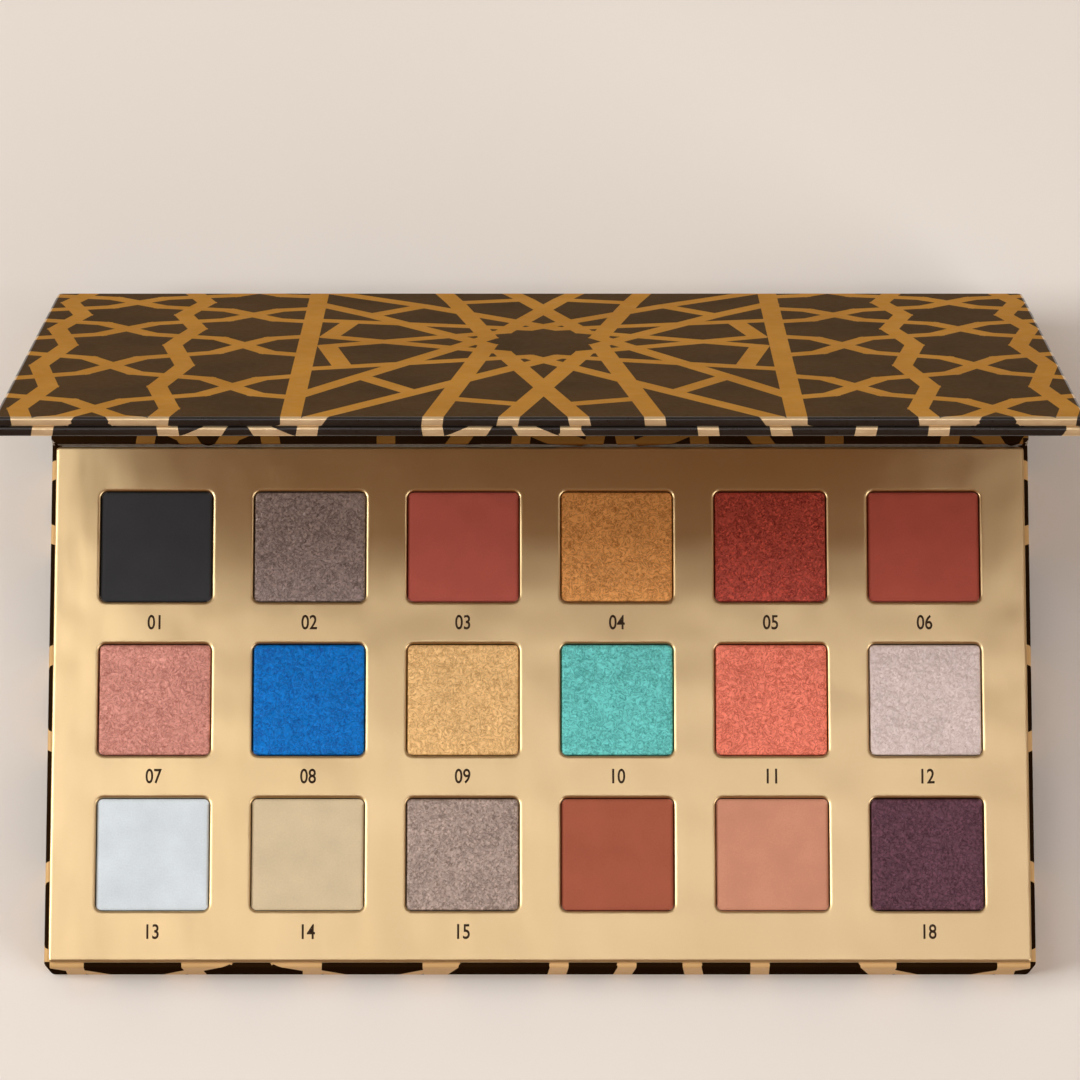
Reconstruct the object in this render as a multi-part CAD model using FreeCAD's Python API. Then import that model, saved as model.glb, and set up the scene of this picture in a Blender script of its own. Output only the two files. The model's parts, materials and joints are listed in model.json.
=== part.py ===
"""Eyeshadow palette: a book-style rigid cardboard case with a grid of pressed powder pans.

Millimetres, +Z up. The origin is the centre of the underside, the front edge faces -Y, and the lid
turns on a paper crease along the top of the back face. The lid is drawn closed, then opened.
"""
import FreeCAD, Part
import os

# Pan grid in the gold card
COLUMNS = 6
ROWS = 3
PITCH_X = 32.1
PITCH_Y = 32.4
WINDOW = 23.8
WINDOW_CORNER = 1.3
SIDE_MARGIN = 9.35
BACK_MARGIN = 9.4
WELL_LAND = 1.8

# Pans, powder and the glue under them
PAN_GAP = 0.3
PAN_WALL = 0.3
PAN_FLOOR = 0.3
PAN_DEPTH = 4.2
PAN_DROP = 0.8
POWDER_DROP = 0.2
POWDER_SHOULDER = 0.3
WELL_GAP = 0.25
GLUE_DIAMETER = 12.0
GLUE_THICKNESS = 0.3

# Boards, paper and card of the base
PAPER = 0.2
WALL_BOARD = 1.8
BOTTOM_BOARD = 1.5
CARD_THICKNESS = 1.5
CARD_CORNER = 0.8
CARD_EDGE_ROUND = 0.35
RIM_SHOW = 1.0
RIM_HEIGHT = 14.5
CASE_CORNER = 1.2
TURN_IN = 12.0
LINER_INSET = 1.5
FOAM_GAP = 0.2

# Raised ledge behind the card
LEDGE_DEPTH = 30.0
LEDGE_GAP = 0.3

# Lid: cover board, mirror frame and mirror
COVER_BOARD = 1.4
FRAME_BOARD = 1.45
FRAME_SIDE = 9.0
FRAME_BACK = 9.0
FRAME_LAP = 5.0
FRAME_GAP = 0.6
LID_SIDE_INSET = 1.0
LID_FRONT_INSET = 0.2
MIRROR_GLASS = 1.2
MIRROR_RECESS = 0.2
MIRROR_GAP = 0.25
MIRROR_CORNER = 1.0
TAPE_INSET = 4.0

# Closure magnets and the steel discs that they catch
MAGNET_DIAMETER = 7.0
MAGNET_THICKNESS = 2.0
MAGNET_GAP = 0.1
MAGNET_LAND = 0.5
DISC_RECESS = 0.2

# Paper hinge
HINGE_PAPER = 0.3
HINGE_SIDE_INSET = 2.0
HINGE_FOOT = 2.0
HINGE_GAP = 0.4
REST_GAP = 0.2
CREASE_RADIUS = 0.5
CREASE_GAP = 0.2
LID_BACK_GAP = 0.3
LID_OPEN = 67.5

# Smallest corner left where a nested corner would vanish, and the tolerance for picking edges
LEAST_CORNER = 0.15
EDGE_TOLERANCE = 0.001

# Plan sizes, worked out from the pan grid outwards
MAGNET_INSET = PAPER + WALL_BOARD + FOAM_GAP + MAGNET_LAND + MAGNET_DIAMETER / 2
FRONT_MARGIN = MAGNET_INSET + MAGNET_DIAMETER / 2 + WELL_LAND - RIM_SHOW
CARD_WIDTH = (COLUMNS - 1) * PITCH_X + WINDOW + 2 * SIDE_MARGIN
CARD_DEPTH = (ROWS - 1) * PITCH_Y + WINDOW + FRONT_MARGIN + BACK_MARGIN
CASE_WIDTH = CARD_WIDTH + 2 * RIM_SHOW
CASE_DEPTH = RIM_SHOW + CARD_DEPTH + LEDGE_GAP + LEDGE_DEPTH + HINGE_PAPER
SIDE = CASE_WIDTH / 2
FRONT = -CASE_DEPTH / 2
BACK = CASE_DEPTH / 2
WRAP_BACK = BACK - HINGE_PAPER
CARD_FRONT = FRONT + RIM_SHOW
CARD_BACK = CARD_FRONT + CARD_DEPTH
LEDGE_FRONT = CARD_BACK + LEDGE_GAP
INNER_SIDE = SIDE - PAPER - WALL_BOARD
INNER_FRONT = FRONT + PAPER + WALL_BOARD
INNER_BACK = WRAP_BACK - PAPER - WALL_BOARD
CROSS_FRONT = CARD_BACK + LEDGE_GAP / 2 - WALL_BOARD / 2
CROSS_BACK = CROSS_FRONT + WALL_BOARD
MAGNET_X = (COLUMNS - 2) * PITCH_X / 2
MAGNET_Y = FRONT + MAGNET_INSET

# Heights, worked out from the table upwards
LINER_TOP = PAPER
BOARD_UNDER = LINER_TOP + PAPER
FLOOR = BOARD_UNDER + BOTTOM_BOARD
CARD_TOP = RIM_HEIGHT + CARD_THICKNESS
PAN_RIM = CARD_TOP - PAN_DROP
PAN_UNDER = PAN_RIM - PAN_DEPTH
POWDER_TOP = PAN_RIM - POWDER_DROP
FRAME_THICKNESS = FRAME_BOARD + 2 * PAPER
FRAME_UNDER = CARD_TOP + REST_GAP
LID_UNDER = FRAME_UNDER + FRAME_THICKNESS
COVER_UNDER = LID_UNDER + PAPER
COVER_TOP = COVER_UNDER + COVER_BOARD
LID_TOP = COVER_TOP + PAPER
LEDGE_TOP = LID_UNDER - HINGE_GAP
AXIS_Z = LEDGE_TOP + HINGE_GAP / 2

# Pan and lid plan sizes
PAN_SIZE = WINDOW - 2 * PAN_GAP
POWDER_SIZE = PAN_SIZE - 2 * PAN_WALL
WELL_SIZE = PAN_SIZE + 2 * WELL_GAP
LID_SIDE = SIDE - LID_SIDE_INSET
LID_FRONT = FRONT + LID_FRONT_INSET
LID_BACK = BACK - LID_BACK_GAP
FRAME_END = LEDGE_FRONT - FRAME_GAP
FRAME_FRONT = MAGNET_INSET - LID_FRONT_INSET + MAGNET_DIAMETER / 2 + WELL_LAND
MIRROR_SIDE = LID_SIDE - FRAME_SIDE - MIRROR_GAP
MIRROR_FRONT = LID_FRONT + FRAME_FRONT + MIRROR_GAP
MIRROR_BACK = FRAME_END - FRAME_BACK - MIRROR_GAP
MIRROR_UNDER = FRAME_UNDER + MIRROR_RECESS
MIRROR_TOP = MIRROR_UNDER + MIRROR_GLASS


def nested(corner, inset):
    """Corner radius of an outline set in from a rounded one."""
    return max(corner - inset, LEAST_CORNER)


def block(x0, x1, y0, y1, z0, z1):
    return Part.makeBox(x1 - x0, y1 - y0, z1 - z0, FreeCAD.Vector(x0, y0, z0))


def rounded_block(x0, x1, y0, y1, z0, z1, corner):
    """Block with its four upright edges rounded."""
    plain = block(x0, x1, y0, y1, z0, z1)
    upright = []
    for edge in plain.Edges:
        box = edge.BoundBox
        if box.XLength < EDGE_TOLERANCE and box.YLength < EDGE_TOLERANCE:
            upright.append(edge)
    return plain.makeFillet(corner, upright)


def square_block(centre, size, z0, z1, corner):
    """Rounded square block about a point of the pan grid."""
    half = size / 2
    x, y = centre
    return rounded_block(x - half, x + half, y - half, y + half, z0, z1, corner)


def case_block(inset, z0, z1):
    """Footprint of the base, set in all round."""
    return rounded_block(-SIDE + inset, SIDE - inset, FRONT + inset, WRAP_BACK - inset,
                         z0, z1, nested(CASE_CORNER, inset))


def lid_block(inset, z0, z1):
    """Footprint of the lid's cover, set in all round."""
    return rounded_block(-LID_SIDE + inset, LID_SIDE - inset, LID_FRONT + inset, LID_BACK - inset,
                         z0, z1, nested(CASE_CORNER, inset))


def frame_block(inset, z0, z1):
    """Footprint of the mirror frame, set in all round."""
    return rounded_block(-LID_SIDE + inset, LID_SIDE - inset, LID_FRONT + inset, FRAME_END - inset,
                         z0, z1, nested(CASE_CORNER, inset))


def mirror_block(outset, z0, z1):
    """Footprint of the mirror, let out all round."""
    return rounded_block(-MIRROR_SIDE - outset, MIRROR_SIDE + outset,
                         MIRROR_FRONT - outset, MIRROR_BACK + outset,
                         z0, z1, nested(MIRROR_CORNER, -outset))


def round_top_edges(solid, radius):
    """Round every edge that lies in the solid's highest plane."""
    top = solid.BoundBox.ZMax
    edges = [edge for edge in solid.Edges if edge.BoundBox.ZMin > top - EDGE_TOLERANCE]
    return solid.makeFillet(radius, edges)


def disc(x, y, z, diameter, thickness):
    return Part.makeCylinder(diameter / 2, thickness, FreeCAD.Vector(x, y, z))


def crease(radius, half_length):
    """Round bar on the hinge axis."""
    start = FreeCAD.Vector(-half_length, BACK, AXIS_Z)
    return Part.makeCylinder(radius, 2 * half_length, start, FreeCAD.Vector(1, 0, 0))


def opened(shape):
    """Turn a shape that is drawn closed to the open lid's place."""
    shape.rotate(FreeCAD.Vector(0, BACK, AXIS_Z), FreeCAD.Vector(-1, 0, 0), LID_OPEN)
    return shape


def save(shape, name):
    shape.exportStep(os.path.join("parts", name + ".step"))


def pan_centres():
    """Centres of the pans, row by row from the back left."""
    first_x = -(COLUMNS - 1) * PITCH_X / 2
    first_y = CARD_BACK - BACK_MARGIN - WINDOW / 2
    centres = []
    for row in range(ROWS):
        for column in range(COLUMNS):
            centres.append((first_x + column * PITCH_X, first_y - row * PITCH_Y))
    return centres


def magnet_places():
    return [(-MAGNET_X, MAGNET_Y), (MAGNET_X, MAGNET_Y)]


def bottom_liner():
    return case_block(LINER_INSET, 0, LINER_TOP)


def bottom_board():
    return case_block(PAPER, BOARD_UNDER, FLOOR)


def walls():
    """Four boards on the floor; the front and back ones run the full width."""
    top = RIM_HEIGHT - PAPER
    body = case_block(PAPER, FLOOR, top)
    return {
        "front_wall": body.common(block(-SIDE, SIDE, FRONT, INNER_FRONT, FLOOR, top)),
        "back_wall": body.common(block(-SIDE, SIDE, INNER_BACK, WRAP_BACK, FLOOR, top)),
        "left_wall": body.common(block(-SIDE, -INNER_SIDE, INNER_FRONT, INNER_BACK, FLOOR, top)),
        "right_wall": body.common(block(INNER_SIDE, SIDE, INNER_FRONT, INNER_BACK, FLOOR, top)),
    }


def base_wrap():
    """Paper up the walls, over the rim and turned in under the floor."""
    skin = case_block(0, LINER_TOP, RIM_HEIGHT)
    skin = skin.cut(case_block(PAPER, BOARD_UNDER, RIM_HEIGHT - PAPER))
    skin = skin.cut(block(-INNER_SIDE, INNER_SIDE, INNER_FRONT, INNER_BACK, FLOOR, RIM_HEIGHT))
    return skin.cut(case_block(TURN_IN, LINER_TOP, BOARD_UNDER))


def cross_wall():
    return block(-INNER_SIDE, INNER_SIDE, CROSS_FRONT, CROSS_BACK, FLOOR, RIM_HEIGHT)


def foam_bed(centres):
    """Foam under the card, with a well for each pan and a pocket for each magnet."""
    foam = block(-INNER_SIDE + FOAM_GAP, INNER_SIDE - FOAM_GAP,
                 INNER_FRONT + FOAM_GAP, CROSS_FRONT - FOAM_GAP, FLOOR, RIM_HEIGHT)
    corner = nested(WINDOW_CORNER, PAN_GAP - WELL_GAP)
    floor = PAN_UNDER - GLUE_THICKNESS
    hollows = [square_block(centre, WELL_SIZE, floor, RIM_HEIGHT, corner) for centre in centres]
    for x, y in magnet_places():
        hollows.append(disc(x, y, RIM_HEIGHT - MAGNET_THICKNESS,
                            MAGNET_DIAMETER + 2 * MAGNET_GAP, MAGNET_THICKNESS))
    return foam.cut(Part.makeCompound(hollows))


def rear_filler():
    return block(-INNER_SIDE + FOAM_GAP, INNER_SIDE - FOAM_GAP,
                 CROSS_BACK + FOAM_GAP, INNER_BACK - FOAM_GAP, FLOOR, RIM_HEIGHT)


def gold_card(centres):
    """Platform card with a window over each pan and rounded upper edges."""
    card = rounded_block(-CARD_WIDTH / 2, CARD_WIDTH / 2, CARD_FRONT, CARD_BACK,
                         RIM_HEIGHT, CARD_TOP, CARD_CORNER)
    windows = [square_block(centre, WINDOW, RIM_HEIGHT, CARD_TOP, WINDOW_CORNER) for centre in centres]
    return round_top_edges(card.cut(Part.makeCompound(windows)), CARD_EDGE_ROUND)


def pan(centre):
    """Pressed tin tray."""
    corner = nested(WINDOW_CORNER, PAN_GAP)
    tray = square_block(centre, PAN_SIZE, PAN_UNDER, PAN_RIM, corner)
    inside = square_block(centre, POWDER_SIZE, PAN_UNDER + PAN_FLOOR, PAN_RIM, nested(corner, PAN_WALL))
    return tray.cut(inside)


def powder(centre):
    """Pressed cake that fills its pan to just under the rim."""
    corner = nested(nested(WINDOW_CORNER, PAN_GAP), PAN_WALL)
    cake = square_block(centre, POWDER_SIZE, PAN_UNDER + PAN_FLOOR, POWDER_TOP, corner)
    return round_top_edges(cake, POWDER_SHOULDER)


def pan_glue(centres):
    under = PAN_UNDER - GLUE_THICKNESS
    return Part.makeCompound([disc(x, y, under, GLUE_DIAMETER, GLUE_THICKNESS) for x, y in centres])


def base_magnets():
    under = RIM_HEIGHT - MAGNET_THICKNESS
    discs = [disc(x, y, under, MAGNET_DIAMETER, MAGNET_THICKNESS) for x, y in magnet_places()]
    return Part.makeCompound(discs)


def ledge_body(inset):
    """Ledge set in at the top and all round, kept inside the base's footprint, clear of the crease."""
    top = LEDGE_TOP - inset
    body = case_block(inset, RIM_HEIGHT, top)
    body = body.common(block(-SIDE, SIDE, LEDGE_FRONT + inset, WRAP_BACK, RIM_HEIGHT, top))
    return body.cut(crease(CREASE_RADIUS + CREASE_GAP, SIDE))


def ledge_board():
    return ledge_body(PAPER)


def ledge_wrap():
    return ledge_body(0).cut(ledge_body(PAPER))


def hinge_strip():
    """Paper hinge glued up the back of the base, rolled round the hinge axis at its top."""
    half = SIDE - HINGE_SIDE_INSET
    leaf = block(-half, half, WRAP_BACK, BACK, HINGE_FOOT, AXIS_Z)
    return leaf.fuse(crease(CREASE_RADIUS, half)).removeSplitter()


def crease_groove():
    """Room for the rolled crease along the lid's back edge."""
    return crease(CREASE_RADIUS + CREASE_GAP, SIDE)


def lid_outer_board():
    return lid_block(PAPER, COVER_UNDER, COVER_TOP).cut(crease_groove())


def lid_outer_wrap():
    """Paper over the cover and turned in beneath it as far as the mirror frame hides."""
    skin = lid_block(0, LID_UNDER, LID_TOP)
    skin = skin.cut(lid_block(PAPER, COVER_UNDER, COVER_TOP))
    skin = skin.cut(frame_block(FRAME_LAP, LID_UNDER, COVER_UNDER))
    return skin.cut(crease_groove())


def lid_inner_frame():
    """Board frame round the mirror, with a hole for each steel disc."""
    under = FRAME_UNDER + PAPER
    frame = frame_block(PAPER, under, under + FRAME_BOARD)
    frame = frame.cut(mirror_block(MIRROR_GAP + PAPER, under, under + FRAME_BOARD))
    holes = [disc(x, y, under, MAGNET_DIAMETER + 2 * MAGNET_GAP, FRAME_BOARD) for x, y in magnet_places()]
    return frame.cut(Part.makeCompound(holes))


def lid_inner_wrap():
    """Paper under the frame, up its outer and window edges and turned in above it."""
    under = FRAME_UNDER + PAPER
    skin = frame_block(0, FRAME_UNDER, LID_UNDER)
    skin = skin.cut(mirror_block(MIRROR_GAP, FRAME_UNDER, LID_UNDER))
    board = frame_block(PAPER, under, under + FRAME_BOARD)
    board = board.cut(mirror_block(MIRROR_GAP + PAPER, under, under + FRAME_BOARD))
    skin = skin.cut(board)
    return skin.cut(frame_block(FRAME_LAP, under + FRAME_BOARD, LID_UNDER))


def mirror():
    return mirror_block(0, MIRROR_UNDER, MIRROR_TOP)


def mirror_tape():
    return mirror_block(-TAPE_INSET, MIRROR_TOP, COVER_UNDER)


def lid_magnets():
    under = FRAME_UNDER + PAPER
    thickness = FRAME_BOARD - DISC_RECESS
    return Part.makeCompound([disc(x, y, under, MAGNET_DIAMETER, thickness) for x, y in magnet_places()])


def make_base(centres):
    save(bottom_liner(), "bottom_liner")
    save(bottom_board(), "bottom_board")
    for name, wall in walls().items():
        save(wall, name)
    save(base_wrap(), "base_wrap")
    save(cross_wall(), "cross_wall")
    save(foam_bed(centres), "foam_bed")
    save(rear_filler(), "rear_filler")
    save(gold_card(centres), "gold_card")
    save(pan_glue(centres), "pan_glue")
    save(base_magnets(), "base_magnets")
    save(ledge_board(), "ledge_board")
    save(ledge_wrap(), "ledge_wrap")
    save(hinge_strip(), "hinge_strip")
    for number, centre in enumerate(centres, 1):
        save(pan(centre), "pan_%02d" % number)
        save(powder(centre), "powder_%02d" % number)


def make_lid():
    save(opened(lid_outer_board()), "lid_outer_board")
    save(opened(lid_outer_wrap()), "lid_outer_wrap")
    save(opened(lid_inner_frame()), "lid_inner_frame")
    save(opened(lid_inner_wrap()), "lid_inner_wrap")
    save(opened(mirror()), "mirror")
    save(opened(mirror_tape()), "mirror_tape")
    save(opened(lid_magnets()), "lid_magnets")


os.makedirs("parts", exist_ok=True)
make_base(pan_centres())
make_lid()
print("case %.2f x %.2f, closed height %.2f" % (CASE_WIDTH, CASE_DEPTH, LID_TOP))
print("hinge axis at y %.3f, z %.3f" % (BACK, AXIS_Z))
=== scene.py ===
import json
import math
import bmesh
import bpy
import numpy as np
from mathutils import Matrix, Vector, noise
from mathutils.geometry import delaunay_2d_cdt


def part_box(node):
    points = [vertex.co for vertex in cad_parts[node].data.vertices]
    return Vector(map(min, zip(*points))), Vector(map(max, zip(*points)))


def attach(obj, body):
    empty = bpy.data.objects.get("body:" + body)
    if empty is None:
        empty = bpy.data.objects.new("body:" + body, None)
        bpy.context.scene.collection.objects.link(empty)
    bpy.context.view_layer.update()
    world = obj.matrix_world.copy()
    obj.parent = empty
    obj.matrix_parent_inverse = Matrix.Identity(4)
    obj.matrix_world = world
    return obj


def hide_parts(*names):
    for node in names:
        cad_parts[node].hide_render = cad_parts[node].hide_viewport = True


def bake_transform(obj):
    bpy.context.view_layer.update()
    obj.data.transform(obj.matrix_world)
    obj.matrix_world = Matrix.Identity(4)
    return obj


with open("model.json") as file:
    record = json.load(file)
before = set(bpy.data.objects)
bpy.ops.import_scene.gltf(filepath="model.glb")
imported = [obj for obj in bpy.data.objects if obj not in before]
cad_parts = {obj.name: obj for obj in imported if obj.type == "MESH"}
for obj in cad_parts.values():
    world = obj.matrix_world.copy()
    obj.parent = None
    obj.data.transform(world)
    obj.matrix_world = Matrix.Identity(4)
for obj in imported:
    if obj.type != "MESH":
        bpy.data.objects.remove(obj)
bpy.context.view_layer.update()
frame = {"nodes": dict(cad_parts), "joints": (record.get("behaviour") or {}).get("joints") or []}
NODES = frame["nodes"]
HINGE = frame["joints"][0]
MM = 0.001

# Camera that matches the photograph, measured as an orbit about a point on the card's face
PHOTO_PIXELS = 1080
CAMERA_ELEVATION = math.radians(79.56)
CAMERA_DISTANCE = 1148.6 * MM
CAMERA_FOCAL_PIXELS = 5489.0
CAMERA_AIM_Y = 19.49 * MM
SENSOR_WIDTH = 36.0

# Paper, folds and strapwork
PAPER = 0.15 * MM
HINGE_PAPER = 0.20 * MM
FOLD_RADIUS = 0.60 * MM
FOLD_STEPS = 4
CREASE = 0.42 * MM
CREASE_STOPS = (1.0, 1.4, 2.0, 3.0, 4.0)
CORNER_STEPS = 5
STRAP_WIDTH = 3.9 * MM
STRAP_OVERRUN = 0.6
SHORTEST_STRAP = 0.5 * MM
CUT_TOLERANCE = 1e-7
JOIN_DISTANCE = 0.004 * MM

# The papers' corners, turned edges and places on the printed pattern
CASE_CORNER = 1.2 * MM
BASE_TURN_IN = 12.0 * MM
LID_LAP = 5.0 * MM
MIRROR_GAP = 0.25 * MM
WALL_STEEP = 4.0
BASE_SHIFT = (24.0 * MM, 2.0 * MM)
LEDGE_SHIFT = (14.0 * MM, 40.0 * MM)
FRAME_SHIFT = (52.0 * MM, 21.0 * MM)
HINGE_SHIFT = (-22.0 * MM, 25.0 * MM)

# Gold card
CARD_CORNER = 0.8 * MM
CARD_LEAST_CORNER = 0.2 * MM
CARD_WINDOW = 23.6 * MM
CARD_WINDOW_CORNER = 1.5 * MM
CARD_BEVEL_WIDTH = 0.70 * MM
CARD_BEVEL_DEPTH = 0.35 * MM
BEVEL_STEPS = 5

# Powder cakes
SHIMMER_GRID = 92
MATTE_GRID = 36
POWDER_CORNER = 1.2 * MM
POWDER_SIDE_GAP = 0.02 * MM
POWDER_RIM_GAP = 0.01 * MM
POWDER_SKIRT = 1.6 * MM
POWDER_LIP = 0.32 * MM
POWDER_LIP_HEIGHT = 0.16 * MM
POWDER_SHOULDER = 0.55 * MM
POWDER_EDGE_DROP = 0.12 * MM
CRINKLE_RELIEF = 0.045 * MM
LUMP_RELIEF = 0.035 * MM
MATTE_RELIEF = 0.020 * MM
SHIMMER_METAL = 0.45
SHIMMER_TILT = 0.26
STROKE_SCALE = 720.0
# Painted shade in the crinkle's creases: how much it takes the powder's hue, and how dark it is in a
# stroke's middle and at its sides
STROKE_SHADE_TINT = 0.4
STROKE_SHADE_DEPTH = 0.50
STROKE_SHADE_SIDES = 0.18
# Painted glints on glitter grains: how much lighter a grain gets, and how much of that shows
PAINTED_GLINT_GAIN = 2.2
PAINTED_GLINT_SHARE = 0.4

# Numbers printed under the pans
NUMBER_HEIGHT = 3.1 * MM
NUMBER_SQUEEZE = 0.80
NUMBER_WEIGHT = 0.014
NUMBER_DROP = 16.1 * MM
NUMBER_RAISE = 0.02 * MM
NUMBER_BARE = (16, 17)

# Lid geometry in its closed place
PIVOT = Vector(HINGE["pos_m"])
LID_OPEN = -math.radians(HINGE["range_deg"][0])
OPEN_LID = Matrix.Translation(PIVOT) @ Matrix.Rotation(-LID_OPEN, 4, "X") @ Matrix.Translation(-PIVOT)
CLOSE_LID = OPEN_LID.inverted()


def closed_box(node):
    """Lowest and highest corner of a lid node when the lid is shut."""
    points = np.array([CLOSE_LID @ v.co for v in NODES[node].data.vertices])
    return Vector(points.min(0)), Vector(points.max(0))


# Shader helpers

def new_material(name):
    """Material with a Principled shader; returns the material, its node tree and the shader."""
    material = bpy.data.materials.new(name)
    material.use_nodes = True
    tree = material.node_tree
    shader = tree.nodes["Principled BSDF"]
    return material, tree, shader


def set_inputs(node, **values):
    """Values on a node's own sockets; an underscore stands for a space in a socket's name."""
    for key, value in values.items():
        node.inputs[key.replace("_", " ")].default_value = value


def object_coordinates(tree):
    """Place in the object's own space."""
    return tree.nodes.new("ShaderNodeTexCoord").outputs["Object"]


def noise_texture(tree, scale, detail=3.0, roughness=0.55, stretch=None):
    """Noise in object space, with its scale in features per metre."""
    node = tree.nodes.new("ShaderNodeTexNoise")
    set_inputs(node, Scale=scale, Detail=detail, Roughness=roughness)
    source = object_coordinates(tree)
    if stretch is not None:
        mapping = tree.nodes.new("ShaderNodeMapping")
        mapping.inputs["Scale"].default_value = stretch
        tree.links.new(source, mapping.inputs["Vector"])
        source = mapping.outputs["Vector"]
    tree.links.new(source, node.inputs["Vector"])
    return node


def cell_texture(tree, scale):
    """Random cells in object space, for grains and glitter."""
    node = tree.nodes.new("ShaderNodeTexVoronoi")
    set_inputs(node, Scale=scale)
    tree.links.new(object_coordinates(tree), node.inputs["Vector"])
    return node


def ramp(tree, source, stops):
    """Colour ramp through (position, colour) stops."""
    node = tree.nodes.new("ShaderNodeValToRGB")
    elements = node.color_ramp.elements
    while len(elements) < len(stops):
        elements.new(0.5)
    for element, (position, colour) in zip(elements, stops):
        element.position = position
        element.color = (*colour, 1.0)
    tree.links.new(source, node.inputs["Fac"])
    return node.outputs["Color"]


def map_range(tree, source, low, high, new_low, new_high):
    """Values between low and high, spread over a new range."""
    node = tree.nodes.new("ShaderNodeMapRange")
    node.inputs["From Min"].default_value = low
    node.inputs["From Max"].default_value = high
    node.inputs["To Min"].default_value = new_low
    node.inputs["To Max"].default_value = new_high
    tree.links.new(source, node.inputs["Value"])
    return node.outputs["Result"]


def add_bump(tree, shader, height, distance, strength=1.0, below=None):
    """Bump on a shader; below is a bump that this one adds to."""
    node = tree.nodes.new("ShaderNodeBump")
    node.inputs["Strength"].default_value = strength
    node.inputs["Distance"].default_value = distance
    tree.links.new(height, node.inputs["Height"])
    if below is not None:
        tree.links.new(below, node.inputs["Normal"])
    tree.links.new(node.outputs["Normal"], shader.inputs["Normal"])
    return node.outputs["Normal"]


def tint(tree, shader, source, dark, light, low=0.3, high=0.7):
    """Base colour that runs from dark to light with a texture."""
    colour = ramp(tree, source, [(low, dark), (high, light)])
    tree.links.new(colour, shader.inputs["Base Color"])


def vary_roughness(tree, shader, source, least, most, low=0.3, high=0.7):
    """Roughness that runs from least to most with a texture."""
    roughness = map_range(tree, source, low, high, least, most)
    tree.links.new(roughness, shader.inputs["Roughness"])


def mix_colours(tree, blend):
    """Colour mixing node that is fully on unless its factor is linked."""
    node = tree.nodes.new("ShaderNodeMix")
    node.data_type = "RGBA"
    node.blend_type = blend
    node.inputs["Factor"].default_value = 1.0
    return node


def shade(colour, factor):
    """Colour made lighter or darker, at most white."""
    return tuple(min(channel * factor, 1.0) for channel in colour)


# Materials

def printed_paper(name, dark, light, gloss, specular):
    """Near-black coated paper with a fine tooth."""
    material, tree, shader = new_material(name)
    grain = noise_texture(tree, 900.0, 5.0)
    mottle = noise_texture(tree, 60.0, 3.0)
    tint(tree, shader, mottle.outputs["Fac"], dark, light)
    vary_roughness(tree, shader, grain.outputs["Fac"], gloss, gloss + 0.12)
    add_bump(tree, shader, grain.outputs["Fac"], 0.008 * MM, 0.4)
    set_inputs(shader, Specular_IOR_Level=specular)
    return material


def strap_gold(name, dark, light, gloss, metal, specular):
    """Gold printed on the paper."""
    material, tree, shader = new_material(name)
    grain = noise_texture(tree, 500.0, 1.0)
    mottle = noise_texture(tree, 45.0, 3.0)
    tint(tree, shader, mottle.outputs["Fac"], dark, light)
    vary_roughness(tree, shader, grain.outputs["Fac"], gloss, gloss + 0.12)
    add_bump(tree, shader, grain.outputs["Fac"], 0.004 * MM, 0.3)
    set_inputs(shader, Metallic=metal, Specular_IOR_Level=specular)
    return material


def card_gold():
    """Satin gold foil laminated on card: fine grain and a slow waviness."""
    material, tree, shader = new_material("card_gold")
    waves = noise_texture(tree, 32.0, 2.0)
    grain = noise_texture(tree, 1500.0, 4.0)
    cloud = noise_texture(tree, 22.0, 2.0)
    tint(tree, shader, cloud.outputs["Fac"], (0.635, 0.475, 0.245), (0.675, 0.510, 0.275))
    vary_roughness(tree, shader, grain.outputs["Fac"], 0.34, 0.39)
    slow = add_bump(tree, shader, waves.outputs["Fac"], 1.7 * MM, 0.5)
    streaks = noise_texture(tree, 95.0, 2.0, 0.5, (1.0, 0.35, 1.0))
    quick = add_bump(tree, shader, streaks.outputs["Fac"], 0.30 * MM, 0.6, slow)
    add_bump(tree, shader, grain.outputs["Fac"], 0.012 * MM, 0.5, quick)
    set_inputs(shader, Metallic=1.0)
    return material


def greyboard():
    """Fibrous recycled board."""
    material, tree, shader = new_material("greyboard")
    fibre = noise_texture(tree, 700.0, 6.0, 0.7)
    tint(tree, shader, fibre.outputs["Fac"], (0.30, 0.26, 0.21), (0.42, 0.37, 0.31), 0.35, 0.65)
    add_bump(tree, shader, fibre.outputs["Fac"], 0.05 * MM, 0.6)
    set_inputs(shader, Roughness=0.95)
    return material


def black_foam():
    """Black foam with fine open cells."""
    material, tree, shader = new_material("black_foam")
    cells = cell_texture(tree, 2200.0)
    tint(tree, shader, cells.outputs["Distance"], (0.006, 0.005, 0.004), (0.022, 0.018, 0.014), 0.0, 0.8)
    add_bump(tree, shader, cells.outputs["Distance"], 0.1 * MM, 0.6)
    set_inputs(shader, Roughness=0.95)
    return material


def liner_paper():
    """Black uncoated paper of the underside."""
    material, tree, shader = new_material("liner_paper")
    grain = noise_texture(tree, 800.0, 5.0)
    tint(tree, shader, grain.outputs["Fac"], (0.012, 0.010, 0.008), (0.022, 0.018, 0.015))
    add_bump(tree, shader, grain.outputs["Fac"], 0.03 * MM, 0.6)
    set_inputs(shader, Roughness=0.62)
    return material


def tin():
    """Thin pressed tinplate, faintly brushed, darkened as painted shade so that each rim reads as a dark
    outline.
    """
    material, tree, shader = new_material("tin")
    brush = noise_texture(tree, 400.0, 4.0, 0.6, (1.0, 12.0, 1.0))
    tint(tree, shader, brush.outputs["Fac"], (0.17, 0.125, 0.085), (0.24, 0.18, 0.13))
    vary_roughness(tree, shader, brush.outputs["Fac"], 0.28, 0.42)
    set_inputs(shader, Metallic=1.0)
    return material


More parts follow.
